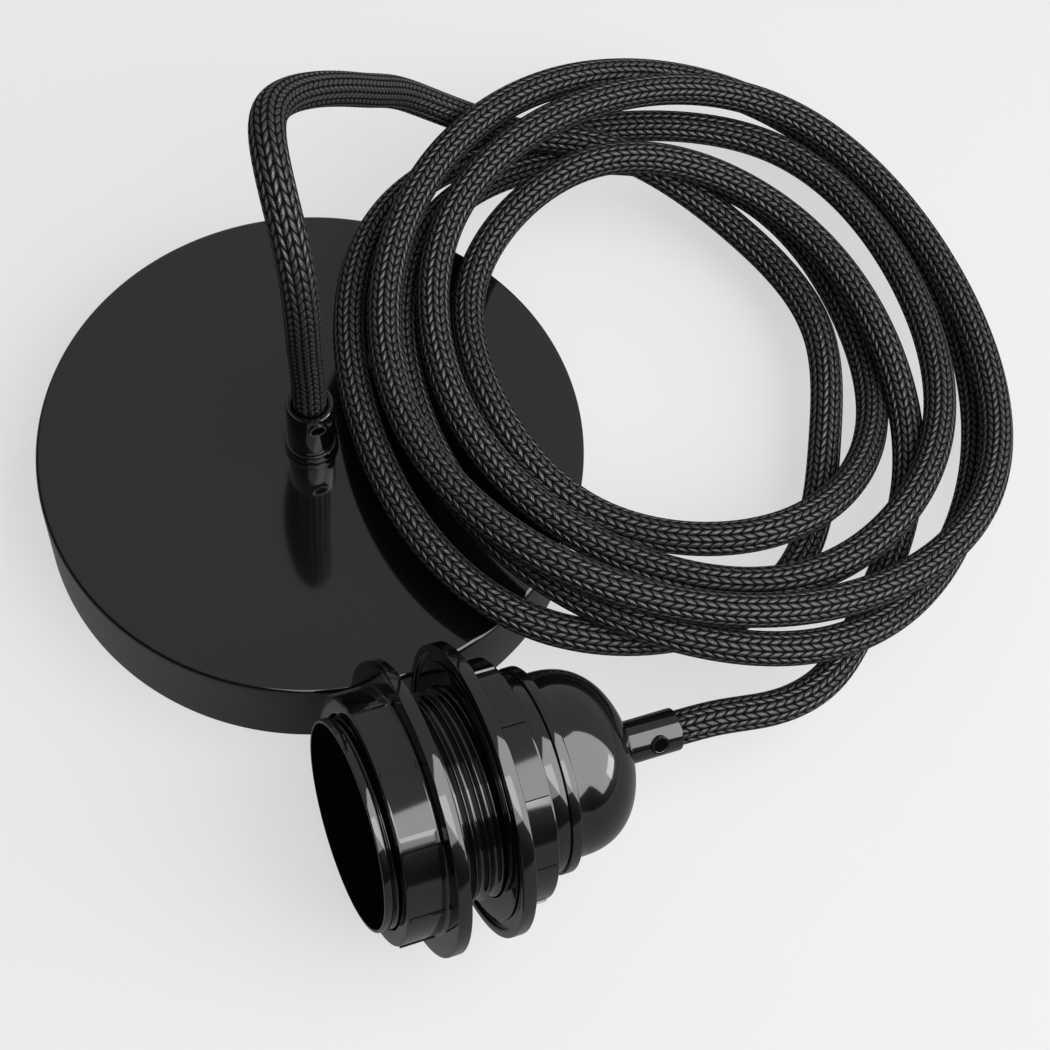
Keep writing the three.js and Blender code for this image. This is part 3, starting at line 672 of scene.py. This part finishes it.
def make_shell():
    """Tube with a band behind, the thread, and a smooth lip in front.

    In the threaded stretch the radius is root + (crest - root) tooth(height / pitch - angle / turn),
    and the tooth grows from nothing over the first pitch behind.
    """
    angles = round_angles(HOLDER_COLUMNS)
    rows = np.linspace(THREAD_FROM, THREAD_TO, THREAD_ROWS)[:, None]
    growth = np.clip((rows - THREAD_FROM) / THREAD_PITCH, 0, 1)
    turns = rows / THREAD_PITCH - angles / (2 * np.pi)
    radius = THREAD_ROOT + (THREAD_CREST - THREAD_ROOT) * tooth(turns) * growth
    thread = np.stack([radius * np.cos(angles), radius * np.sin(angles), rows + 0 * angles], -1)
    band = [(SHELL_BORE, SHELL_BACK), (SHELL_BAND, SHELL_BACK), (SHELL_BAND, THREAD_FROM)]
    lip = [(SHELL_BAND, THREAD_TO), (THREAD_CREST, LIP_FROM), (THREAD_CREST, LIP_TO)]
    mouth = [(MOUTH_RADIUS, LIP_TO), (MOUTH_RADIUS, MOUTH_STEP), (SHELL_BORE, MOUTH_FLOOR)]
    behind = turned_grid(eased(band, ease=0.15), angles)
    front = turned_grid(eased(lip + mouth + band[:1], ease=0.25)[:-1], angles)
    whole = np.concatenate([behind, thread, front])
    grid = placed(whole, HOLDER_PLACE)
    shell = mesh_from_grid("holder_shell_turned", grid, closed_rows=True, sharp=np.pi)
    dress(shell, pearl, "base", "holder_shell")
    # The inside of the mouth gets the near-black plastic: painted shade
    paint_rows(shell, len(angles), len(whole) - MOUTH_ROWS, len(whole), dark)
    return shell


holder_shell = make_shell()
faces = len(holder_shell.data.polygons)
print("holder shell: tilts", round(np.degrees(TILT), 2), "degrees, faces", faces)

# %% [markdown]
# ## Shade rings
# Two rings clamp a lampshade between their flanges, and ribs on their collars give the fingers hold.
# The ribs could be small boxes that are joined to each ring, but these would leave seams. So they
# belong to the ring's own grid: four columns stand at each rib, and the middle two are raised.

# %% Shade rings
RUNNING_CLEARANCE = 0.3
RING_BORE = THREAD_CREST + RUNNING_CLEARANCE
FLANGE_RADIUS = 28.0
FLANGE_THICKNESS = 2.6
GROOVE_FROM = 24.6
GROOVE_TO = 26.4
GROOVE_DEPTH = 0.8
FILLET = 0.6
FILLET_STEPS = 7
RIB_COUNT = 10
RIB_FIRST = 33.0
RIB_WIDTH = 0.7
RIB_SLOPE = 0.12
RIB_RISE = 0.4
RIB_LOW_GAP = 0.1
RIB_HIGH_GAP = 0.5
COLUMNS_BETWEEN_RIBS = 16


def rib_columns(collar):
    """Angles of the grid's columns, with four at each rib, and how much of the rib each carries."""
    step = 2 * np.pi / RIB_COUNT
    half = RIB_WIDTH / 2 / collar
    foot = half + RIB_SLOPE / collar
    angles, share = [], []
    for k in range(RIB_COUNT):
        middle = np.radians(RIB_FIRST) + k * step
        between = np.linspace(middle + foot, middle + step - foot, COLUMNS_BETWEEN_RIBS)[1:-1]
        angles += [middle - foot, middle - half, middle + half, middle + foot, *between]
        share += [0, 1, 1, 0] + [0] * len(between)
    return np.array(angles), np.array(share, float)


def make_ring(name, collar, length, face, turned_round):
    """Shade ring: flange with a groove in its clamping face, fillet, and a ribbed collar."""
    angles, ribs = rib_columns(collar)
    t = np.linspace(0, np.pi / 2, FILLET_STEPS)
    fillet = np.stack([collar + FILLET * (1 - np.sin(t)), FILLET * (1 - np.cos(t))], -1)
    clamp, groove = -FLANGE_THICKNESS, GROOVE_DEPTH - FLANGE_THICKNESS
    inner = [(RING_BORE, clamp), (GROOVE_FROM, clamp), (GROOVE_FROM, groove), (GROOVE_TO, groove)]
    outer = [(GROOVE_TO, clamp), (FLANGE_RADIUS, clamp), (FLANGE_RADIUS, 0), (collar + FILLET, 0)]
    back = eased(inner + outer, ease=0.3)[:-1]
    wall = [(collar, FILLET), (collar, length), (RING_BORE, length), (RING_BORE, clamp)]
    front = eased(wall, ease=0.3)[1:-1]
    low_rib = [(collar, FILLET + RIB_LOW_GAP)]
    high_rib = [(collar, length - RIB_HIGH_GAP)]
    profile = np.concatenate([back, fillet, low_rib, low_rib, high_rib, high_rib, front])
    first = len(back) + len(fillet) + 1
    raised = np.zeros(len(profile))
    raised[first : first + 2] = RIB_RISE
    outward = np.stack([np.cos(angles), np.sin(angles), 0 * angles], -1)
    grid = turned_grid(profile, angles) + (raised[:, None] * ribs)[..., None] * outward
    if turned_round:
        grid = grid * np.array([1, -1, -1])
    grid = placed(grid + np.array([0, 0, face]), HOLDER_PLACE)
    return mesh_from_grid(name, grid, closed_rows=True)


def make_front_ring():
    """It clamps backwards, and its collar points to the mouth."""
    name = "shade_ring_front_turned"
    made = make_ring(name, collar=23.4, length=7.9, face=0.0, turned_round=False)
    return dress(made, pearl, "front_ring", "shade_ring_front")


def make_rear_ring():
    """It faces the front ring, with its collar towards the dome."""
    name = "shade_ring_rear_turned"
    made = make_ring(name, collar=23.2, length=6.4, face=-14.9, turned_round=True)
    return dress(made, pearl, "rear_ring", "shade_ring_rear")


rings = [make_front_ring(), make_rear_ring()]
print("shade rings: faces", [len(ring.data.polygons) for ring in rings])

# %% [markdown]
# ## Dome cap
# The cap behind the shell swells a little more than an ellipse does. Its outline could be drawn by
# hand. A superellipse is chosen, because one power sets how full the dome is, and the line stays
# smooth for the reflections. A seat at its tip carries the grip.

# %% Dome cap
DOME_RADIUS = 17.8
DOME_WALL = 1.2
DOME_SHOULDER = -30.3
DOME_LENGTH = 13.8
DOME_POWER = 2.35
DOME_OVERHANG = 0.5
DOME_LIP_LENGTH = 2.0
DOME_CHAMFER = 0.7
DOME_CHAMFER_DROP = 0.2
DOME_STEP_DROP = 0.5
DOME_SPIGOT_TOP = -19.9
DOME_TIP = DOME_SHOULDER - DOME_LENGTH
TIP_RADIUS = 7.5
TIP_SEAT = 5.4
TIP_SEAT_RISE = 0.3
TIP_HOLE = 4.45
TIP_WALL = 2.2
HOLLOW_RADIUS = 15.0
HOLLOW_AT = -36.0
DOME_STEPS = 60


def make_dome():
    """Dome cap. Its outline is the superellipse (r/R)^p + (z/L)^p = 1 from the shoulder back."""
    t = np.linspace(0, np.pi / 2, DOME_STEPS)
    radius = DOME_RADIUS * np.cos(t) ** (2 / DOME_POWER)
    height = DOME_SHOULDER - DOME_LENGTH * np.sin(t) ** (2 / DOME_POWER)
    dome = np.stack([radius, height], -1)[radius > TIP_RADIUS]
    spigot = SHELL_BORE - RUNNING_CLEARANCE
    seat = SHELL_BACK - SEAT_GAP
    rim = SHELL_BAND + DOME_OVERHANG
    foot = seat - DOME_LIP_LENGTH
    top = [(spigot, DOME_SPIGOT_TOP), (spigot, seat), (rim, seat), (rim, foot)]
    step = [(rim - DOME_CHAMFER, foot - DOME_CHAMFER_DROP), (DOME_RADIUS, foot - DOME_STEP_DROP)]
    lip = eased(top + step + [(DOME_RADIUS, DOME_SHOULDER)], ease=0.2)[:-1]
    inside_tip = DOME_TIP + TIP_WALL
    seat_round_hole = [(TIP_RADIUS, DOME_TIP + TIP_SEAT_RISE), (TIP_SEAT, DOME_TIP)]
    hole = [(TIP_HOLE, DOME_TIP), (TIP_HOLE, inside_tip)]
    boss = eased(seat_round_hole + hole, ease=0.25)[1:]
    inner_radius = DOME_RADIUS - DOME_WALL
    hollow = [(TIP_RADIUS + SEAT_GAP, inside_tip), (HOLLOW_RADIUS, HOLLOW_AT)]
    wall = [(inner_radius, DOME_SHOULDER), (inner_radius, DOME_SPIGOT_TOP)]
    profile = np.concatenate([lip, dome, boss, hollow, wall])[::-1]
    return make_turned("dome_cap_turned", profile, HOLDER_COLUMNS, HOLDER_PLACE, "dome_cap")


dome = make_dome()
print("dome cap: faces", len(dome.data.polygons))

# %% [markdown]
# ## Holder grip and set screws
# A slim tube grips the cord, and a set screw in its side holds it. On both grips the screw stands
# in a short ring. The ring could be cut into the grip with a Boolean modifier. A closed ring that
# is laid over the wall looks the same and leaves the tube's faces as they are. Its hole is
# shallow, and its last rows lie in the hole and are painted near black: painted shade.

# %% Holder grip and set screws
HOLDER_GRIP_RADIUS = 4.15
HOLDER_GRIP_FROM = -37.5
HOLDER_GRIP_TO = -55.2


def make_holder_grip():
    bore = [(GRIP_BORE, HOLDER_GRIP_FROM), (GRIP_BORE, HOLDER_GRIP_TO)]
    wall = [(HOLDER_GRIP_RADIUS, HOLDER_GRIP_TO), (HOLDER_GRIP_RADIUS, HOLDER_GRIP_FROM)]
    profile = eased(bore + wall + bore[:1], ease=0.3)[:-1]
    return make_turned("holder_grip_turned", profile, SMALL_COLUMNS, HOLDER_PLACE, "holder_grip")


BOSS_RADIUS = 1.9
BOSS_RISE = 0.35
SCREW_HOLE = 1.35
HOLE_FLOOR = 0.05
PIN_HOLE = 0.01
BOSS_COLUMNS = 28
# How many of the boss's last rows lie inside its hole. They are painted near black: painted shade in the
# hole.
HOLE_ROWS = 10
HOLDER_SCREW_INSET = 5.0
HOLDER_SCREW_ANGLE = 309
CANOPY_SCREW_INSET = 3.0
CANOPY_SCREW_ANGLE = 270


def screw_boss(name, grip_radius, height, angle, place):
    """Short ring on a grip's wall round its set screw, with a dark hole.

    Its profile [radius, height] is turned about the direction (cos a, sin a, 0) across the grip.
    """
    rise = grip_radius + BOSS_RISE
    floor_height = grip_radius + HOLE_FLOOR
    wall = [(BOSS_RADIUS, GRIP_BORE), (BOSS_RADIUS, rise), (SCREW_HOLE, rise)]
    hole = [(SCREW_HOLE, floor_height), (PIN_HOLE, floor_height), (PIN_HOLE, GRIP_BORE)]
    profile = eased(wall + hole, ease=0.15)
    ring = turned_grid(profile, round_angles(BOSS_COLUMNS))
    out = np.array([np.cos(np.radians(angle)), np.sin(np.radians(angle)), 0])
    side = np.array([-out[1], out[0], 0])
    turn = np.stack([side, [0, 0, 1], out], -1)
    grid = ring @ turn.T + np.array([0, 0, height])
    boss = mesh_from_grid(name, placed(grid, place), closed_rows=True)
    dress(boss, pearl, "base")
    # The shallow hole is painted near black: painted shade
    paint_rows(boss, BOSS_COLUMNS, len(profile) - HOLE_ROWS, len(profile), dark)
    return boss


def make_holder_boss():
    height = HOLDER_GRIP_TO + HOLDER_SCREW_INSET
    return screw_boss("holder_grip_boss", HOLDER_GRIP_RADIUS, height, HOLDER_SCREW_ANGLE, HOLDER_PLACE)


def make_canopy_boss():
    height = GRIP_TOP - CANOPY_SCREW_INSET
    return screw_boss("canopy_grip_boss", GRIP_RADIUS, height, CANOPY_SCREW_ANGLE, CANOPY_PLACE)


made = [make_holder_grip(), make_holder_boss(), make_canopy_boss()]
print("grip and set screws:", [piece.name for piece in made])

# %% [markdown]
# ## Studio
# A pale floor and soft lights. Most of the picture's contrast is in reflections, so what surrounds
# the part matters as much as what lights it. A picture of a room could light it, but soft lights can
# be moved one by one until their reflections fit. The bright patches on the dome and the rings show
# where these stand: two large ones in front, and a small one low on the right.

# %% Studio
FLOOR_SIZE = 6.0
FLOOR_TONE = 0.16
FLOOR_GLOW = 0.6
REFLECTED_GLOW = 0.08
WHITE = (1, 1, 1, 1)
GREY_SIDE = (30, 45)
ROOM_DARK = 0.03
ROOM_GREY = 0.5
GREY_FROM = -0.1
GREY_TO = 0.6


def make_floor():
    """Pale floor. It glows to the camera, so that the shadows on it stay faint, and glows less in
    reflections, which keeps the undersides of the glossy pieces dark."""
    s = FLOOR_SIZE
    mesh = bpy.data.meshes.new("floor")
    mesh.from_pydata([(-s, -s, 0), (s, -s, 0), (s, s, 0), (-s, s, 0)], [], [(0, 1, 2, 3)])
    floor = bpy.data.objects.new("floor", mesh)
    scene.collection.objects.link(floor)
    tones = (FLOOR_TONE, FLOOR_TONE, FLOOR_TONE, 1)
    material, tree, shader = new_material("floor", Base_Color=tones, Roughness=1.0, Specular_IOR_Level=0.0)
    ray = add(tree, "ShaderNodeLightPath")
    seen = maths(tree, "MULTIPLY", ray.outputs["Is Camera Ray"], FLOOR_GLOW)
    glow = maths(tree, "MULTIPLY_ADD", ray.outputs["Is Glossy Ray"], REFLECTED_GLOW, seen)
    tree.links.new(glow, shader.inputs["Emission Strength"])
    shader.inputs["Emission Color"].default_value = WHITE
    mesh.materials.append(material)


def toward(azimuth, elevation):
    """Direction at an azimuth from +X and an elevation above the floor, in degrees."""
    a, e = np.radians([azimuth, elevation])
    return np.array([np.cos(e) * np.cos(a), np.cos(e) * np.sin(a), np.sin(e)])


def softbox(name, azimuth, elevation, size, radiance, distance=1.0):
    """Rectangular soft light that faces the part. Its power is pi times radiance times area."""
    data = bpy.data.lights.new(name, "AREA")
    data.shape = "RECTANGLE"
    data.size, data.size_y = size
    data.energy = np.pi * radiance * size[0] * size[1]
    light = bpy.data.objects.new(name, data)
    scene.collection.objects.link(light)
    back = toward(azimuth, elevation)
    side = np.cross([0.0, 0.0, 1.0], back)
    side /= np.linalg.norm(side)
    turn = np.eye(4)
    turn[:3] = np.stack([side, np.cross(back, side), back, back * distance], -1)
    light.matrix_world = Matrix(turn.tolist())


def make_room():
    """Room light: grey towards one side and overhead, nearly black on the other sides."""
    world = bpy.data.worlds.new("studio")
    scene.world = world
    world.use_nodes = True
    tree = world.node_tree
    where = add(tree, "ShaderNodeTexCoord").outputs["Generated"]
    directions = {0: where, 1: tuple(toward(*GREY_SIDE))}
    facing = add(tree, "ShaderNodeVectorMath", directions, operation="DOT_PRODUCT").outputs["Value"]
    spread = {"Value": facing, "From Min": GREY_FROM, "From Max": GREY_TO}
    tones = {"To Min": ROOM_DARK, "To Max": ROOM_GREY}
    level = add(tree, "ShaderNodeMapRange", spread | tones, interpolation_type="SMOOTHSTEP")
    tree.links.new(level.outputs[0], tree.nodes["Background"].inputs["Strength"])
    tree.nodes["Background"].inputs["Color"].default_value = WHITE


make_floor()
make_room()
softbox("main_softbox", azimuth=-38, elevation=45, size=(0.9, 1.3), radiance=4.6)
softbox("front_softbox", azimuth=-90, elevation=52, size=(0.75, 0.6), radiance=3.2)
softbox("low_softbox", azimuth=-30, elevation=17, size=(0.35, 0.22), radiance=5.0)
scene.view_settings.view_transform = "Standard"
print("studio: a floor, the room's grey and three soft lights")
